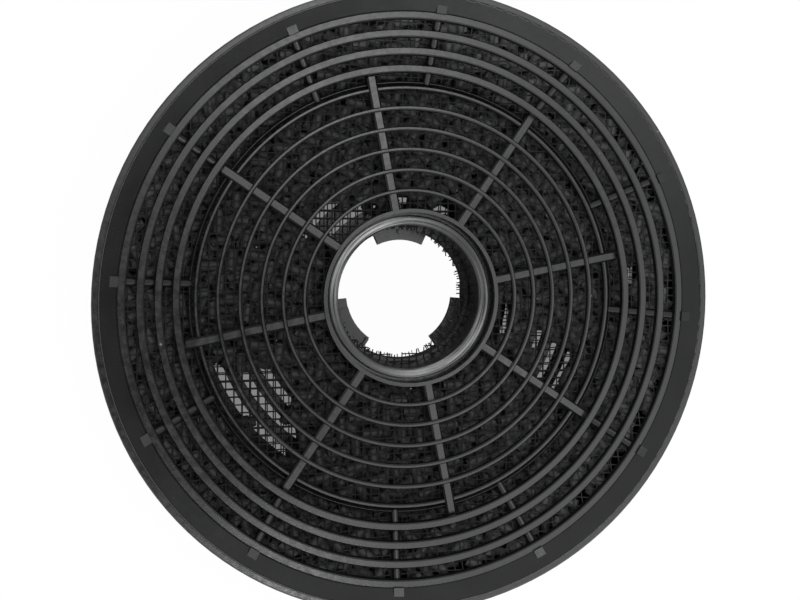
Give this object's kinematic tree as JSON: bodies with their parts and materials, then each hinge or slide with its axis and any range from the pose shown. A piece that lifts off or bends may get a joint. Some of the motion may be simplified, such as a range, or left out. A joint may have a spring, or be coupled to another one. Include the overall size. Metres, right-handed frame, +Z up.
{
  "type": "cooker hood carbon filter",
  "caption": "Round black plastic filter cartridge with a dished slotted face, a central bayonet tube and a bed of activated carbon pellets between two nets.",
  "frame": {"origin": "centre of the back face that the filter rests on", "axes": "+Z up along the central tube towards the dished face, +X along one spoke"},
  "size_m": [0.21, 0.21, 0.042],
  "materials": {
    "black_plastic": "moulded satin",
    "black_net": "extruded plastic net",
    "carbon": "pressed carbon pellets"
  },
  "bodies": {
    "root": {"housing": "black_plastic", "inner_grille": "black_plastic", "back_cover": "black_plastic", "front_net": "black_net", "back_net": "black_net", "carbon_bed": "carbon"}
  },
  "joints": []
}
